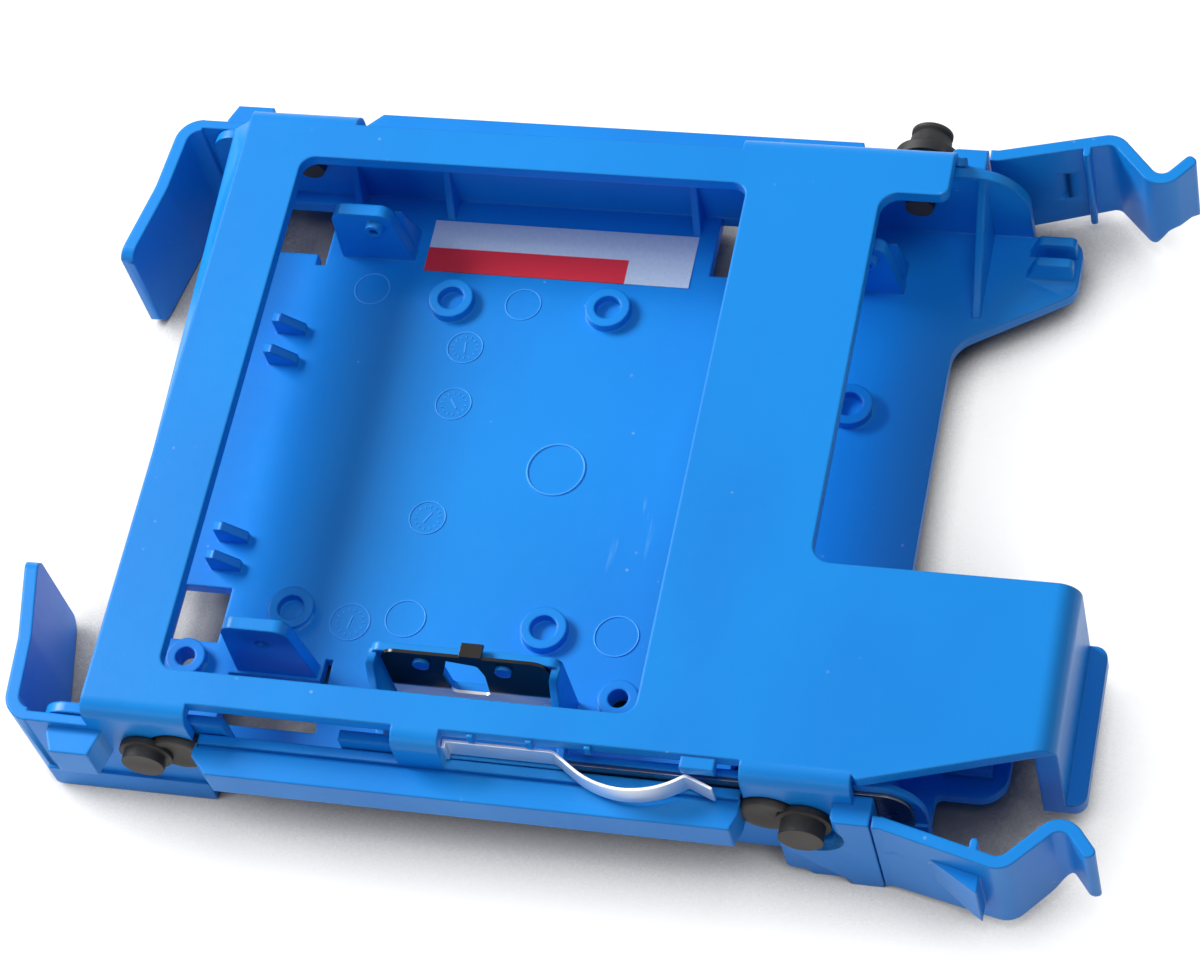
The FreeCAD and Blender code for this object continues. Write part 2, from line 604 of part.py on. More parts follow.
def adapter_tray():
    solids = [tray_floor_plate(), tray_side(-1), tray_side(1)]
    for x, y in ring_places:
        solids.append(rod(ring_outer, V(x, y, floor_z - 0.3), V(0, 0, 1), ring_height + 0.3))
    for x, y in boss_places:
        solids.append(rod(boss_outer, V(x, y, floor_z - 0.3), V(0, 0, 1), boss_height + 0.3))
    for y in fin_places:
        solids.append(prism([(fin_left, floor_z - 0.3), (fin_left, floor_z + fin_height),
                             (fin_left + 1.2, floor_z + fin_height),
                             (fin_left + fin_length, floor_z + fin_height * 0.3),
                             (fin_left + fin_length, floor_z - 0.3)],
                            0, "xz", y - fin_thick / 2, y + fin_thick / 2))
    for x in (pin_x, pin_x + drive_hole_pitch):
        solids.append(drive_tab(x, tab_far_y, 1))
        solids.append(drive_tab(x, tab_near_y, -1))
    for x in rear_rib_places:
        solids.append(gusset(x, tray_inner, rear_rib_reach, tray_floor_top - tray_wall_top - 4.0, 1))
    for sign in (-1, 1):
        solids.append(gusset(ear_rib_right, sign * tray_inner, ear_rib_reach,
                             tray_floor_top - ear_right_top - 0.4, sign))
        solids.append(gusset(ear_rib_left, sign * tray_inner, ear_rib_left_reach,
                             tray_floor_top - tray_wall_top - 0.8, sign))
    for y in ridge_places:
        solids.append(prism([(ear_right - 0.2, floor_z - 0.3), (ear_right + 1.6, floor_z + ridge_height),
                             (pad_tip - 0.7, floor_z + ridge_height), (pad_tip - 0.7, floor_z - 0.3)],
                            [0, 0.8, 0.8, 0], "xz", y - ridge_thick / 2, y + ridge_thick / 2))
    # wall that carries the ground bracket, with a rib at each end
    wall_y = clip_face_y + 1.4
    solids.append(prism([(clip_wall_left, floor_z - 0.3), (clip_wall_left, -tab_top),
                         (clip_wall_right, -tab_top), (clip_wall_right, floor_z - 0.3)],
                        [0, 1.6, 1.6, 0], "xz", clip_face_y, wall_y))
    for x in (clip_wall_left, clip_wall_right - rib_thick):
        solids.append(prism([(clip_face_y - 8.0, floor_z - 0.3), (clip_face_y - 2.0, -tab_top - 0.6),
                             (clip_face_y + 0.5, -tab_top - 0.6), (clip_face_y + 0.5, floor_z - 0.3)],
                            0, "yz", x, x + rib_thick))
    for x in stake_places:
        solids.append(rod(stake_radius - 0.1, V(x, clip_face_y + 0.3, -stake_depth), V(0, -1, 0),
                          clip_thick + 0.9))
    tray = joined(solids)

    cuts = []
    for x, y in ring_places:
        cuts.append(rod(ring_inner, V(x, y, floor_z), V(0, 0, 1), ring_height + 1))
    for x, y in boss_places:
        cuts.append(rod(boss_hole, V(x, y, tray_bottom - 1), V(0, 0, 1), tray_floor + boss_height + 2))
    x0, x1, y0, y1 = rest_window
    cuts.append(box(x0, x1, y0, y1, tray_bottom - 1, floor_z + 1))
    # openings and relief slots that let the tabs spring
    for x0, x1, y0, y1 in floor_openings:
        cuts.append(box(x0, x1, y0, y1, tray_bottom - 1, floor_z + 0.6))
    # keyhole through the bracket wall, and isolator holes in the side walls
    cuts.append(clip_keyhole(0.4))
    for x in (isolator_pitch_left, isolator_pitch_right):
        for sign in (-1, 1):
            cuts.append(rod(isolator_neck + isolator_fit, V(x, sign * (tray_inner - 1), -isolator_depth),
                            V(0, sign, 0), tray_wall + 2))
    # the near wall stands open beside the first slot, and is let in for the ground strip
    cuts.append(box(slot_1[0] + 4.4, clip_wall_left - 1.0, -tray_half - 1, -tray_inner + 1,
                    floor_z + 1.5, 0))
    cuts.append(box(slot_2[0] - 0.8, strip_left - 0.3, -tray_half - 1, -tray_inner + 1,
                    -near_wall_low, 0))
    cuts.append(box(strip_left - 0.3, ear_right + 1, -tray_half - 1,
                    -tray_half + strip_thick + 0.1, -strip_bottom - 0.3, 0))
    return tray.cut(cuts).removeSplitter()


# ---- ground contact parts ------------------------------------------------------------
def clip_keyhole(margin):
    # opening in the bracket: a neck at the top that widens downward
    mid = (stake_places[0] + stake_places[1]) / 2 - 0.6
    neck = 1.6 + margin
    belly = 3.4 + margin
    return prism([(mid - neck, -clip_top - 1.4), (mid + neck + 1.2, -clip_top - 2.2),
                  (mid + belly, -clip_top - 5.0), (mid + belly - 0.4, floor_z + 3.2 - margin),
                  (mid - belly + 0.8, floor_z + 3.2 - margin), (mid - belly + 0.4, -clip_top - 6.0)],
                 [0, 0.8, 1.2, 0.8, 0.8, 1.2], "xz", clip_face_y - 2, clip_face_y + 2)


def ground_bracket():
    face = prism([(clip_left, floor_z + 0.1), (clip_left, -clip_top), (clip_right, -clip_top),
                  (clip_right, floor_z + 0.1)], [0, clip_radius, clip_radius, 0], "xz",
                 clip_face_y - clip_thick, clip_face_y)
    foot = box(clip_left, clip_right, clip_face_y - clip_foot, clip_face_y - clip_thick / 2,
               floor_z + 0.1, floor_z + 0.1 + clip_thick)
    mid = (clip_left + clip_right) / 2
    fold = box(mid - 0.4, mid + 2.8, clip_face_y - clip_thick, clip_face_y + 1.7,
               -clip_top - 0.1, -clip_top + clip_thick)
    body = joined([face, foot, fold])
    cuts = [clip_keyhole(0)]
    for x in stake_places:
        cuts.append(rod(stake_radius, V(x, clip_face_y + 1, -stake_depth), V(0, -1, 0), 3))
    return body.cut(cuts).removeSplitter()


def leaf_spring():
    # straight strip inside the slot, bowed out through it, with a turned-out tip
    points = [V(leaf_start, leaf_inner_y, 0), V(leaf_bend, leaf_inner_y, 0),
              V(leaf_corner[0], leaf_corner[1], 0), V(leaf_return[0], leaf_return[1], 0),
              V(leaf_tip[0], leaf_tip[1], 0)]
    plan = thick_path(points, [0, 2.0, leaf_bow, 0.7, 0], leaf_thick)
    plan.translate(V(0, 0, -leaf_top - leaf_height))
    strip = plan.extrude(V(0, 0, leaf_height))
    hook = box(leaf_start - leaf_thick, leaf_start + 0.1, leaf_inner_y - 1.1,
               leaf_inner_y + leaf_thick / 2, -leaf_top - leaf_height, -leaf_top)
    return joined([strip, hook])


def ground_strip():
    outline = [(strip_left, -strip_bottom), (strip_left, -strip_top),
               (strip_right, -strip_top), (strip_right, -strip_bottom)]
    strip = prism(outline, [0, 0, 4.0, 0], "xz", -tray_half, -tray_half + strip_thick)
    return strip.cut([rod(isolator_neck + 0.4, V(isolator_pitch_right, -tray_half - 1, -isolator_depth),
                          V(0, 1, 0), strip_thick + 2)])


# ---- isolators and label -------------------------------------------------------------
def isolator(x, out_y, sign):
    # turned rubber body: neck through both walls, flange against the caddy, grooved head
    flange_in = outer_y + isolator_fit
    flange_out = flange_in + isolator_flange_thick
    profile = [(0, tray_inner - isolator_pin_reach), (isolator_neck, tray_inner - isolator_pin_reach),
               (isolator_neck, flange_in), (isolator_flange, flange_in), (isolator_flange, flange_out),
               (isolator_head, flange_out)]
    if out_y > outer_y + block_out + isolator_flange_thick * 3:
        wide_in = outer_y + block_out + isolator_fit
        wide_out = wide_in + isolator_flange_thick * 1.7
        profile += [(isolator_head, wide_in), (isolator_wide, wide_in), (isolator_wide, wide_out),
                    (isolator_head, wide_out),
                    (isolator_head, out_y - isolator_groove * 3),
                    (isolator_head - isolator_groove, out_y - isolator_groove * 2),
                    (isolator_head, out_y - isolator_groove)]
    profile += [(isolator_head, out_y), (0, out_y)]
    points = [V(r, y, 0) for r, y in profile]
    face = Part.Face(Part.makePolygon(points + [points[0]]))
    body = face.revolve(V(0, 0, 0), V(0, 1, 0), 360)
    body = body if sign > 0 else mirrored(body)
    body.translate(V(x, 0, -isolator_depth))
    return body


def label():
    return prism([(label_left, label_near), (label_right, label_near),
                  (label_right, label_far), (label_left, label_far)],
                 0, "xy", floor_z, floor_z + label_thick)


# ---- all pieces ----------------------------------------------------------------------
def pieces():
    arm = release_arm()
    found = {
        "caddy_frame": caddy_frame(),
        "adapter_tray": adapter_tray(),
        "release_arm_near": arm,
        "release_arm_far": mirrored(arm),
        "ground_bracket": ground_bracket(),
        "leaf_spring": leaf_spring(),
        "ground_strip": ground_strip(),
        "blank_label": label(),
    }
    for place, out_y in isolator_out.items():
        x = isolator_pitch_left if place.endswith("left") else isolator_pitch_right
        found["isolator_" + place] = isolator(x, out_y, -1 if place.startswith("near") else 1)
    return found


os.makedirs("parts", exist_ok=True)
parts = pieces()
bounds = [shape.optimalBoundingBox() for shape in parts.values()]
left = min(one.XMin for one in bounds)
right = max(one.XMax for one in bounds)
to_rest = V(-(left + right) / 2, 0, foot_depth)
print("left", round(left, 3), "right", round(right, 3), "lowest", round(min(one.ZMin for one in bounds), 3))
for name, shape in parts.items():
    shape.translate(to_rest)
    shape.exportStep("parts/" + name + ".step")
    print(name, "valid", shape.isValid(), "solids", len(shape.Solids), "volume", round(shape.Volume, 1))
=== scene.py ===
import math
import bmesh
import bpy
from mathutils import Matrix, Vector


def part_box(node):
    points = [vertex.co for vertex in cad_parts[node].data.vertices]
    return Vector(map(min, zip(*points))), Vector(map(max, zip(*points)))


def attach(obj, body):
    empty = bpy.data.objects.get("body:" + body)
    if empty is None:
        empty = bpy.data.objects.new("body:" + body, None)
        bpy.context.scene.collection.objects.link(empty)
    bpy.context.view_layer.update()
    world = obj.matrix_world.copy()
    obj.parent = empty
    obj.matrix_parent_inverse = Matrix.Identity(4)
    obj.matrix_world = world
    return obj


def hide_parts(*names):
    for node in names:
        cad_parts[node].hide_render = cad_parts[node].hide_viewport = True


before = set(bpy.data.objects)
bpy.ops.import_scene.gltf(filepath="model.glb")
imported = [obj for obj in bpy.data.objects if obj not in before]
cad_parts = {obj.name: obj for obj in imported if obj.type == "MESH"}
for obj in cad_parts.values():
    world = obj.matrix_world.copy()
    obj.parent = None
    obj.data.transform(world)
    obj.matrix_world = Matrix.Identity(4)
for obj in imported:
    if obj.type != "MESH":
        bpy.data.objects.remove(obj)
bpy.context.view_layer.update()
mm = 0.001
scene = bpy.context.scene
print("stage: frame loaded,", len(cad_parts), "nodes")


class Sock:
    # a wrapped shader socket that adds its own Math nodes
    def __init__(self, kit, out):
        self.kit = kit
        self.out = out

    def maths(self, operation, *values):
        return self.kit.node("ShaderNodeMath", {"operation": operation}, values)

    def __add__(self, other):
        return self.maths("ADD", self, other)

    def __radd__(self, other):
        return self.maths("ADD", other, self)

    def __sub__(self, other):
        return self.maths("SUBTRACT", self, other)

    def __rsub__(self, other):
        return self.maths("SUBTRACT", other, self)

    def __mul__(self, other):
        return self.maths("MULTIPLY", self, other)

    def ramp(self, low, high):
        # 0 below low, 1 above high, smooth between
        values = {"Value": self, "From Min": low, "From Max": high}
        return self.kit.node("ShaderNodeMapRange", {"interpolation_type": "SMOOTHSTEP"}, values)


class Finish:
    # one material being built: a Principled shader, and a method that adds any other node
    def __init__(self, name):
        self.material = bpy.data.materials.new(name)
        self.material.use_nodes = True
        self.tree = self.material.node_tree
        self.shader = self.tree.nodes["Principled BSDF"]
        self.place = self.node("ShaderNodeTexCoord", {}, {}, "Object")

    def node(self, kind, settings, values, output=0):
        made = self.tree.nodes.new(kind)
        for key, value in settings.items():
            setattr(made, key, value)
        pairs = values.items() if isinstance(values, dict) else enumerate(values)
        for key, value in pairs:
            self.feed(made.inputs[key], value)
        return Sock(self, made.outputs[output])

    def feed(self, socket, value):
        if isinstance(value, Sock):
            self.tree.links.new(value.out, socket)
        elif hasattr(value, "__len__") and len(value) == 3 and len(socket.default_value) == 4:
            socket.default_value = (*value, 1.0)
        else:
            socket.default_value = value

    def set(self, **values):
        # constants and links on the shader's own sockets, words joined by underscores
        for key, value in values.items():
            self.feed(self.shader.inputs[key.replace("_", " ")], value)

    def noise(self, scale, detail=3.0, roughness=0.55, stretch=(1, 1, 1)):
        vector = self.node("ShaderNodeMapping", {}, {"Vector": self.place, "Scale": stretch})
        return self.node("ShaderNodeTexNoise", {}, {"Vector": vector, "Scale": scale, "Detail": detail,
                                                    "Roughness": roughness})

    def along(self, axis):
        # how far the place lies along one axis of the object
        return self.node("ShaderNodeSeparateXYZ", {}, {"Vector": self.place}, axis)

    def mix(self, factor, first, second):
        # 6 and 7 are the colour inputs of a Mix node, and its colour output is number 2
        return self.node("ShaderNodeMix", {"data_type": "RGBA"}, {0: factor, 6: first, 7: second}, 2)

    def rounded(self, radius):
        # normals that turn over each edge as a rounding of this radius would
        return self.node("ShaderNodeBevel", {"samples": 6}, {"Radius": radius})

    def bump(self, height, distance, strength, normal):
        values = {"Height": height, "Distance": distance, "Strength": strength, "Normal": normal}
        return self.node("ShaderNodeBump", {}, values)


def linear(*parts):
    # screen colour from 0 to 255 into the renderer's linear values
    return tuple(((p / 255 + 0.055) / 1.055) ** 2.4 if p > 10 else p / 255 / 12.92 for p in parts)


# finishes: colours are screen colours, scales are per metre, edge radii and depths are in metres
plastics = {"caddyBlue": {"shade": 1.0, "scuffs": 0.25, "rubbed": False},
            "trayBlue": {"shade": 0.99, "scuffs": 0.8, "rubbed": True}}
bluePlastic = {"body": (18, 143, 232), "flow": (14, 134, 224), "roughness": 0.34, "specular": 0.26,
               "edge": 0.0005, "flowScale": 38, "flowRange": (0.35, 0.7), "mottleScale": 420,
               "grainScale": 2600, "grainDepth": 0.00002}
dust = {"colour": (190, 214, 240), "scale": 330, "size": (0.05, 0.11), "patchScale": 75,
        "patches": (0.58, 0.66), "strength": 0.3}
hairlines = {"colour": (6, 92, 190), "scale": 260, "stretch": (1, 0.05, 1), "width": (0.66, 0.72),
             "patchScale": 24, "patches": (0.56, 0.66), "depth": 0.00001}
rubbing = {"colour": (110, 178, 244), "centre": (0.0046, -0.006, 0.0065), "reach": (0.005, 0.0105, 0.004),
           "fade": (0.4, 1.0), "scale": 700, "stretch": (1, 0.12, 1), "width": (0.52, 0.68),
           "strength": 0.5, "depth": 0.00002}


def makeBluePlastic(name):
    # moulding resin: faint flow marks, fine spark-eroded grain, dust and hairline scuffs
    f = Finish(name)
    kind = bluePlastic
    shade, scuffs = plastics[name]["shade"], plastics[name]["scuffs"]
    flow = f.noise(kind["flowScale"], 2.0, 0.5, (1, 0.45, 1)).ramp(*kind["flowRange"])
    mottle = f.noise(kind["mottleScale"])
    cells = f.node("ShaderNodeTexVoronoi", {}, {"Vector": f.place, "Scale": dust["scale"]})
    dusty = f.noise(dust["patchScale"], 2.0).ramp(*dust["patches"])
    specks = (1 - cells.ramp(*dust["size"])) * dusty * dust["strength"]
    handled = f.noise(hairlines["patchScale"], 2.0).ramp(*hairlines["patches"])
    hairs = f.noise(hairlines["scale"], 4.0, 0.65, hairlines["stretch"]).ramp(*hairlines["width"]) * handled
    body = linear(*[p * shade for p in kind["body"]])
    flowColour = linear(*[p * shade for p in kind["flow"]])
    colour = f.mix(flow, body, flowColour)
    colour = f.mix(hairs * scuffs, colour, linear(*hairlines["colour"]))
    colour = f.mix(specks, colour, linear(*dust["colour"]))
    grain = f.noise(kind["grainScale"], 2.0)
    relief = f.bump(grain, kind["grainDepth"], 0.5, f.rounded(kind["edge"]))
    relief = f.bump(hairs, hairlines["depth"], scuffs, relief)
    if plastics[name]["rubbed"]:
        # one rubbed place: fine pale strokes that fade out from its middle
        away = f.node("ShaderNodeMapping", {"vector_type": "TEXTURE"},
                      {"Vector": f.place, "Location": rubbing["centre"], "Scale": rubbing["reach"]})
        distance = f.node("ShaderNodeVectorMath", {"operation": "LENGTH"}, {"Vector": away}, 1)
        fade = 1 - distance.ramp(*rubbing["fade"])
        strokes = f.noise(rubbing["scale"], 3.0, 0.6, rubbing["stretch"]).ramp(*rubbing["width"]) * fade
        colour = f.mix(strokes * rubbing["strength"], colour, linear(*rubbing["colour"]))
        relief = f.bump(strokes, rubbing["depth"], 0.6, relief)
    roughness = kind["roughness"] + (mottle - 0.5) * 0.12 + flow * 0.04 + hairs * 0.15
    f.set(Base_Color=colour, Roughness=roughness, Normal=relief, Specular_IOR_Level=kind["specular"])
    return f.material


steels = {"bracketSteel": {"body": (58, 56, 55), "worn": (44, 43, 43), "roughness": 0.14},
          "stripSteel": {"body": (150, 150, 152), "worn": (120, 120, 124), "roughness": 0.16},
          "springSteel": {"body": (246, 245, 243), "worn": (232, 231, 229), "roughness": 0.34}}
brushed = {"scale": 900, "stretch": (0.06, 1, 1), "depth": 0.00001, "smearScale": 90, "smears": (0.4, 0.7),
           "edge": 0.00012, "footWaver": 0.0012, "reflectionDullness": 0.8}


def makeSteel(name, footReflection=None):
    # thin sprung steel, brushed along its length, with faint smears; a foot reflection is low, high and its
    # colour, a painted reflection laid as a pale band over the foot
    f = Finish(name)
    kind = steels[name]
    brush = f.noise(brushed["scale"], 3.0, 0.6, brushed["stretch"])
    smear = f.noise(brushed["smearScale"]).ramp(*brushed["smears"])
    colour = f.mix(smear, linear(*kind["body"]), linear(*kind["worn"]))
    metal = 1.0
    if footReflection is not None:
        low, high, reflectionColour = footReflection
        height = f.along("Z") + (brush - 0.5) * brushed["footWaver"]
        # painted reflection: below the band the steel turns pale and less metallic, standing in for light
        # reflected on the foot
        paintedReflection = 1 - height.ramp(low, high)
        colour = f.mix(paintedReflection, colour, linear(*reflectionColour))
        metal = 1 - paintedReflection * brushed["reflectionDullness"]
    f.set(Base_Color=colour, Metallic=metal, Roughness=kind["roughness"] + brush * 0.1 + smear * 0.08,
          Normal=f.bump(brush, brushed["depth"], 0.4, f.rounded(brushed["edge"])))
    return f.material


rubber = {"side": (15, 15, 17), "end": (58, 55, 50), "dusty": (84, 80, 72), "endShare": 0.85,
          "endFacing": (0.6, 0.95), "bloomScale": 300, "blooms": (0.38, 0.72), "roughness": 0.58,
          "grainScale": 2200, "grainDepth": 0.00003, "edge": 0.0003}


def makeRubber():
    # dark rubber, dusty on its round end faces, which point along y
    f = Finish("isolatorRubber")
    bloom = f.noise(rubber["bloomScale"], 4.0).ramp(*rubber["blooms"])
    grain = f.noise(rubber["grainScale"], 2.0)
    turned = f.node("ShaderNodeTexCoord", {}, {}, "Normal")
    facing = f.node("ShaderNodeSeparateXYZ", {}, {"Vector": turned}, "Y")
    ends = facing.maths("ABSOLUTE", facing).ramp(*rubber["endFacing"])
    dusty = f.mix(bloom, linear(*rubber["end"]), linear(*rubber["dusty"]))
    colour = f.mix(ends * rubber["endShare"], linear(*rubber["side"]), dusty)
    f.set(Base_Color=colour, Roughness=rubber["roughness"] + bloom * 0.25,
          Normal=f.bump(grain, rubber["grainDepth"], 0.6, f.rounded(rubber["edge"])))
    return f.material


foil = {"silver": (174, 198, 224), "glint": (204, 218, 236), "red": (212, 36, 52), "bandLength": 0.76,
        "bandDepth": 0.46, "blur": 0.00008, "roughness": 0.34, "grainScale": 1500, "grainDepth": 0.000008,
        "edge": 0.00004}


def makeLabel(low, high):
    # satin foil: silver field with a plain red band along its near side, nothing printed on it
    f = Finish("labelFoil")
    grain = f.noise(foil["grainScale"], 2.0)
    edge = low[0] + (high[0] - low[0]) * foil["bandLength"]
    middle = low[1] + (high[1] - low[1]) * foil["bandDepth"]
    blur = foil["blur"]
    near = 1 - f.along("Y").ramp(middle - blur, middle + blur)
    band = near * (1 - f.along("X").ramp(edge - blur, edge + blur))
    silver = f.mix(grain, linear(*foil["silver"]), linear(*foil["glint"]))
    colour = f.mix(band, silver, linear(*foil["red"]))
    f.set(Base_Color=colour, Roughness=foil["roughness"] + grain * 0.12,
          Normal=f.bump(grain, foil["grainDepth"], 0.4, f.rounded(foil["edge"])))
    return f.material


# painted highlight: a paler blue for the marks' rims
markHighlightBlue = {"colour": (70, 166, 246), "roughness": 0.4, "specular": 0.2}


def makeMarkHighlightFinish():
    # painted highlight: the fine raised marks are given a paler blue than the floor around them, standing in
    # for the light their rims catch
    f = Finish("markHighlightBlue")
    f.set(Base_Color=linear(*markHighlightBlue["colour"]), Roughness=markHighlightBlue["roughness"],
          Specular_IOR_Level=markHighlightBlue["specular"])
    return f.material


# painted reflection: metres below the bracket's upper edge between which the pale band painted over its foot
# begins
bracketFootReflection = {"from": 0.01, "to": 0.011, "colour": (255, 250, 241)}
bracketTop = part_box("ground_bracket")[1][2]
footReflectionBand = (bracketTop - bracketFootReflection["to"], bracketTop - bracketFootReflection["from"], bracketFootReflection["colour"])
caddyFinish = makeBluePlastic("caddyBlue")
trayFinish = makeBluePlastic("trayBlue")
bracketFinish = makeSteel("bracketSteel", footReflectionBand)
stripFinish = makeSteel("stripSteel")
springFinish = makeSteel("springSteel")
rubberFinish = makeRubber()
labelFinish = makeLabel(*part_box("blank_label"))
markHighlightFinish = makeMarkHighlightFinish()
print("stage: finishes made")


# merge distance in metres, angles in degrees
cleaning = {"merge": 0.000002, "flat": 0.6, "sharp": 28, "weight": 100}


def cleanCopy(node, name, body, finish):
    # a clean copy of a CAD node, whose edges the finish rounds
    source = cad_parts[node]
    piece = bpy.data.objects.new(name, source.data.copy())
    scene.collection.objects.link(piece)
    mesh = bmesh.new()
    mesh.from_mesh(piece.data)
    bmesh.ops.remove_doubles(mesh, verts=mesh.verts, dist=cleaning["merge"])
    flat = math.radians(cleaning["flat"])
    bmesh.ops.dissolve_limit(mesh, angle_limit=flat, verts=mesh.verts, edges=mesh.edges)
    mesh.to_mesh(piece.data)
    mesh.free()
    piece.data.materials.clear()
    piece.data.materials.append(finish)
    for polygon in piece.data.polygons:
        polygon.use_smooth = True
    piece.data.set_sharp_from_angle(angle=math.radians(cleaning["sharp"]))
    level = piece.modifiers.new("levelFaces", "WEIGHTED_NORMAL")
    level.mode = "FACE_AREA"
    level.weight = cleaning["weight"]
    level.keep_sharp = True
    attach(piece, body)
    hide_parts(node)


mouldings = {"caddy_frame": ("caddyMoulding", "caddy", "caddy_plastic", caddyFinish),
             "adapter_tray": ("trayMoulding", "caddy", "tray_plastic", trayFinish),
             "release_arm_near": ("nearArm", "arm_near", "caddy_plastic", caddyFinish),
             "release_arm_far": ("farArm", "arm_far", "caddy_plastic", caddyFinish),
             "ground_bracket": ("groundBracket", "caddy", "ground_steel", bracketFinish),
             "leaf_spring": ("leafSpring", "caddy", "ground_steel", springFinish),
             "ground_strip": ("groundStrip", "caddy", "ground_steel", stripFinish),
             "blank_label": ("labelPlate", "caddy", "label", labelFinish)}
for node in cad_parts:
    if node.startswith("isolator_"):
        words = node.split("_")
        name = "isolator" + words[1].title() + words[2].title()
        mouldings[node] = (name, "caddy", "isolator_rubber", rubberFinish)
for node, (name, body, slotName, finish) in mouldings.items():
    cleanCopy(node, name, body, finish)
print("stage: mouldings made")


# the isolators' dished inner ends, seen in the wide parts of the keyholes
# x in the frame in mm, and the outward side (-1 near, 1 far)
rubberSeats = {"places": {"seatNearLeft": (-50.7, -1), "seatNearRight": (34.8, -1),
                          "seatFarLeft": (-50.7, 1), "seatFarRight": (34.8, 1)},
               "wall": 51.4, "height": 14.6, "radius": 4.1, "depth": 1.9, "turns": 40}


def makeSeat(name, x, side):
    # a turned profile: flat back, rounded rim and a shallow dish in its face
    radius, depth, turns = rubberSeats["radius"], rubberSeats["depth"], rubberSeats["turns"]
    profile = ((0.0, 0.0), (radius - 0.2, 0.0), (radius, 0.25), (radius, depth - 0.45),
               (radius - 0.15, depth - 0.12), (radius - 0.5, depth), (radius - 1.1, depth - 0.05),
               (radius - 1.9, depth - 0.35), (0.0, depth - 0.5))
    mesh = bmesh.new()
    rows = []
    for r, d in profile:
        ring = []
        for k in range(turns if r > 0 else 1):
            angle = 2 * math.pi * k / turns
            spot = Vector((x + r * math.cos(angle), side * (rubberSeats["wall"] + d),
                           rubberSeats["height"] + r * math.sin(angle)))
            ring.append(mesh.verts.new(spot * mm))
        rows.append(ring)
    for first, second in zip(rows, rows[1:]):
        for k in range(turns):
            n = (k + 1) % turns
            corners = [first[k % len(first)], first[n % len(first)],
                       second[n % len(second)], second[k % len(second)]]
            mesh.faces.new(list(dict.fromkeys(corners)))
    bmesh.ops.recalc_face_normals(mesh, faces=mesh.faces)
    data = bpy.data.meshes.new(name)
    mesh.to_mesh(data)
    mesh.free()
    for polygon in data.polygons:
        polygon.use_smooth = True
    data.materials.append(rubberFinish)
    piece = bpy.data.objects.new(name, data)
    scene.collection.objects.link(piece)
    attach(piece, "caddy")


for name, (x, side) in rubberSeats["places"].items():
    makeSeat(name, x, side)
print("stage: rubber seats made")


# fine raised rings and date dials on the tray floor
# x and y in the frame, diameter in mm, and the dial's pointer angle in degrees (None for a plain ring);
# tick, pointer and tick circle are shares of a dial that is 1 in radius, and lift is in metres
trayMarks = {"places": ((-43.8, 31.9, 5.5, None), (-19.4, 31.0, 5.5, None), (-8.3, 2.7, 8.7, None),
                        (6.3, -23.9, 6.5, None), (-25.5, -24.2, 6.0, None), (-33.7, -25.6, 6.0, 80),
                        (-26.8, 22.6, 5.5, 95), (-26.4, 12.6, 5.5, 125), (-26.0, -7.2, 5.5, 60)),
             "line": 0.045, "lineSides": 6, "ringSteps": 40, "lift": 0.00001, "ticks": 14,
             "tick": (0.22, 0.07, 0.06), "tickCircle": 0.95, "pointer": (1.0, 0.12, 0.07), "dialShare": 0.72}


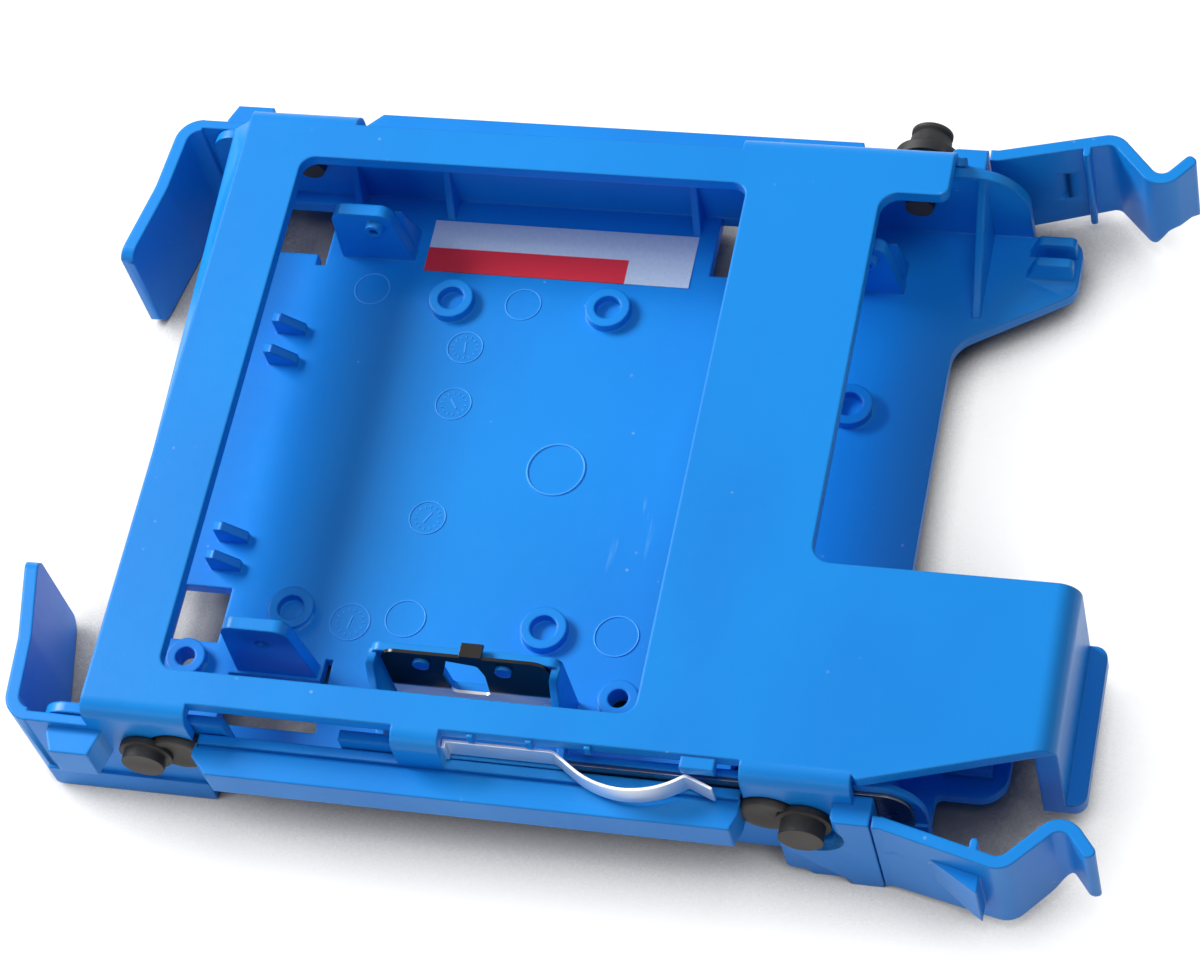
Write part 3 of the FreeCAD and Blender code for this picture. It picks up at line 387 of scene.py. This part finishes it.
def makeMarkTree(finish):
    # each point gets a ring of its own size; points with a pointer get ticks and a bar too
    tree = bpy.data.node_groups.new("mouldMarks", "GeometryNodeTree")
    face = tree.interface
    face.new_socket("Geometry", in_out="INPUT", socket_type="NodeSocketGeometry")
    line = face.new_socket("Line Thickness", in_out="INPUT", socket_type="NodeSocketFloat")
    count = face.new_socket("Dial Ticks", in_out="INPUT", socket_type="NodeSocketInt")
    face.new_socket("Geometry", in_out="OUTPUT", socket_type="NodeSocketGeometry")

    def add(kind, settings=(), **inputs):
        node = tree.nodes.new(kind)
        for name, value in dict(settings).items():
            setattr(node, name, value)
        for name, value in inputs.items():
            socket = node.inputs[name.replace("_", " ")]
            if hasattr(value, "is_output"):
                tree.links.new(value, socket)
            else:
                socket.default_value = value
        return node.outputs[0]

    def joined(*parts):
        join = tree.nodes.new("GeometryNodeJoinGeometry")
        for part in parts:
            tree.links.new(part, join.inputs[0])
        return join.outputs[0]

    geometry, thickness, ticks = tree.nodes.new("NodeGroupInput").outputs[:3]
    size = add("GeometryNodeInputNamedAttribute", {"data_type": "FLOAT"}, Name="size")
    dial = add("GeometryNodeInputNamedAttribute", {"data_type": "FLOAT"}, Name="dial")
    turn = add("GeometryNodeInputNamedAttribute", {"data_type": "FLOAT"}, Name="turn")
    section = add("GeometryNodeCurvePrimitiveCircle", Resolution=trayMarks["lineSides"], Radius=thickness)
    circle = add("GeometryNodeCurvePrimitiveCircle", Resolution=trayMarks["ringSteps"], Radius=1.0)
    ring = add("GeometryNodeCurveToMesh", Curve=circle, Profile_Curve=section)
    points = add("GeometryNodeMeshToPoints", Mesh=geometry)
    rings = add("GeometryNodeInstanceOnPoints", Points=points, Instance=ring, Scale=size)
    inner = add("GeometryNodeMeshCircle", Vertices=ticks, Radius=trayMarks["tickCircle"])
    bar = add("GeometryNodeMeshCube", Size=trayMarks["tick"])
    spot = add("GeometryNodeInputPosition")
    facing = add("FunctionNodeAlignRotationToVector", {"axis": "X"}, Vector=spot)
    spokes = add("GeometryNodeInstanceOnPoints", Points=inner, Instance=bar, Rotation=facing)
    pointer = add("GeometryNodeMeshCube", Size=trayMarks["pointer"])
    spin = add("ShaderNodeCombineXYZ", Z=turn)
    inside = tree.nodes.new("ShaderNodeMath")
    inside.operation = "MULTIPLY"
    tree.links.new(size, inside.inputs[0])
    inside.inputs[1].default_value = trayMarks["dialShare"]
    dials = add("GeometryNodeInstanceOnPoints", Points=points, Selection=dial,
                Instance=joined(spokes, pointer), Rotation=spin, Scale=inside.outputs[0])
    real = add("GeometryNodeRealizeInstances", Geometry=joined(rings, dials))
    coated = add("GeometryNodeSetMaterial", Geometry=real, Material=finish)
    tree.links.new(coated, tree.nodes.new("NodeGroupOutput").inputs[0])
    return tree, line.identifier, count.identifier


def makeTrayMarks():
    # the label lies on the tray floor, so its underside gives the floor's height
    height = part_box("blank_label")[0][2] + trayMarks["lift"]
    places = trayMarks["places"]
    mesh = bpy.data.meshes.new("trayMarkPoints")
    mesh.from_pydata([(x * mm, y * mm, height) for x, y, size, turn in places], [], [])
    columns = {"size": [size * mm / 2 for x, y, size, turn in places],
               "dial": [0.0 if turn is None else 1.0 for x, y, size, turn in places],
               "turn": [math.radians(turn or 0) for x, y, size, turn in places]}
    for key, values in columns.items():
        mesh.attributes.new(key, "FLOAT", "POINT").data.foreach_set("value", values)
    source = bpy.data.objects.new("trayMarkSource", mesh)
    scene.collection.objects.link(source)
    tree, line, count = makeMarkTree(markHighlightFinish)
    modifier = source.modifiers.new("marks", "NODES")
    modifier.node_group = tree
    modifier[line] = trayMarks["line"]
    modifier[count] = trayMarks["ticks"]
    evaluated = source.evaluated_get(bpy.context.evaluated_depsgraph_get())
    plain = bpy.data.meshes.new_from_object(evaluated)
    bpy.data.objects.remove(source)
    piece = bpy.data.objects.new("trayMouldMarks", plain)
    scene.collection.objects.link(piece)
    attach(piece, "caddy")


makeTrayMarks()
print("stage: tray marks made")


# linear colours; the floor's size and gap, and how far it looks for what stands over it to paint its shadow,
# in metres
studio = {"worldStrength": 0.11, "worldColour": (0.86, 0.93, 1.06), "floorColour": (0.86, 0.87, 0.9),
          "floorSize": 6.0, "floorGap": 0.0002, "floorGlow": 1.0, "glowColour": (0.985, 0.99, 1.0),
          "floorShade": (0.2, 0.2, 0.202), "paintedShadowReach": 0.1, "paintedShadowRange": (0.26, 0.76)}


def seenDirectly(tree):
    # 1 for the camera's own rays, and for those through clear pieces or off glossy ones
    path = tree.nodes.new("ShaderNodeLightPath")
    seen = path.outputs["Is Camera Ray"]
    for other in ("Is Transmission Ray", "Is Glossy Ray"):
        either = tree.nodes.new("ShaderNodeMath")
        either.operation = "MAXIMUM"
        tree.links.new(seen, either.inputs[0])
        tree.links.new(path.outputs[other], either.inputs[1])
        seen = either.outputs[0]
    return seen


def switchSurface(tree, lighting, shown, outputName):
    # one surface lights the object, and the other is what is seen directly
    mix = tree.nodes.new("ShaderNodeMixShader")
    tree.links.new(seenDirectly(tree), mix.inputs[0])
    tree.links.new(lighting, mix.inputs[1])
    tree.links.new(shown, mix.inputs[2])
    tree.links.new(mix.outputs[0], tree.nodes[outputName].inputs["Surface"])


def makeFloor():
    # pale paper that is seen as white, with the object's cast shadow softened and a painted shadow where the
    # object stands close over it
    gap = studio["floorGap"]
    bpy.ops.mesh.primitive_plane_add(size=studio["floorSize"], location=(0, 0, -gap))
    floor = bpy.context.object
    floor.name = "studioFloor"
    f = Finish("floorPaper")
    f.set(Base_Color=studio["floorColour"], Roughness=0.9, Specular_IOR_Level=0.0)
    tree = f.tree
    # painted shadow: the paper's glow darkens where the object stands close over it, as ambient occlusion
    # finds it
    paintedShadowOcclusion = f.node("ShaderNodeAmbientOcclusion", {"samples": 8}, {"Distance": studio["paintedShadowReach"]}, "AO")
    glow = tree.nodes.new("ShaderNodeEmission")
    glowColour = f.mix(paintedShadowOcclusion.ramp(*studio["paintedShadowRange"]), (0.0, 0.0, 0.0), studio["glowColour"])
    f.feed(glow.inputs["Color"], glowColour)
    glow.inputs["Strength"].default_value = studio["floorGlow"]
    shade = tree.nodes.new("ShaderNodeBsdfDiffuse")
    shade.inputs["Color"].default_value = (*studio["floorShade"], 1.0)
    both = tree.nodes.new("ShaderNodeAddShader")
    tree.links.new(glow.outputs[0], both.inputs[0])
    tree.links.new(shade.outputs[0], both.inputs[1])
    switchSurface(tree, f.shader.outputs[0], both.outputs[0], "Material Output")
    floor.data.materials.append(f.material)


# places and sizes in metres, power in watts
lamps = {"softKey": {"place": (-1.05, 0.38, 0.85), "size": (0.6, 0.5), "power": 24.0},
         "topSoft": {"place": (0.25, -0.1, 1.1), "size": (0.6, 0.5), "power": 2.8},
         "frontEdge": {"place": (-0.22, -0.85, 0.42), "size": (0.9, 0.12), "power": 1.1}}
lampAim = Vector((0, 0, 0.01))


def makeLamp(name, place, size, power):
    data = bpy.data.lights.new(name, "AREA")
    data.shape = "RECTANGLE"
    data.size, data.size_y = size
    data.energy = power
    lamp = bpy.data.objects.new(name, data)
    lamp.location = place
    lamp.rotation_mode = "QUATERNION"
    lamp.rotation_quaternion = (lampAim - Vector(place)).to_track_quat("-Z", "Y")
    scene.collection.objects.link(lamp)


def makeWorld():
    # a dim room lights the object, and white is seen behind it
    world = bpy.data.worlds.new("studioRoom")
    scene.world = world
    world.use_nodes = True
    tree = world.node_tree
    lit = tree.nodes["Background"]
    lit.inputs["Color"].default_value = (*studio["worldColour"], 1.0)
    lit.inputs["Strength"].default_value = studio["worldStrength"]
    seen = tree.nodes.new("ShaderNodeBackground")
    seen.inputs["Color"].default_value = (1.0, 1.0, 1.0, 1.0)
    seen.inputs["Strength"].default_value = 1.0
    switchSurface(tree, lit.outputs[0], seen.outputs[0], "World Output")


# the product view, from the front and about 57 degrees up; place, lens and sensor in mm
productView = {"place": (138.4, -261.15, 474.3), "lens": 112.9, "sensor": 36.0,
               "across": (0.9644, 0.1951, -0.1785), "up": (-0.0801, 0.8588, 0.5061),
               "back": (0.252, -0.4738, 0.8438)}


def makeCamera():
    data = bpy.data.cameras.new("productCamera")
    data.sensor_width = productView["sensor"]
    data.lens = productView["lens"]
    camera = bpy.data.objects.new("productCamera", data)
    turn = Matrix([productView[key] for key in ("across", "up", "back")]).transposed().to_4x4()
    camera.matrix_world = Matrix.Translation(Vector(productView["place"]) * mm) @ turn
    scene.collection.objects.link(camera)
    scene.camera = camera


makeFloor()
for name, lamp in lamps.items():
    makeLamp(name, lamp["place"], lamp["size"], lamp["power"])
makeWorld()
makeCamera()
scene.view_settings.view_transform = "Standard"
print("stage: studio ready")
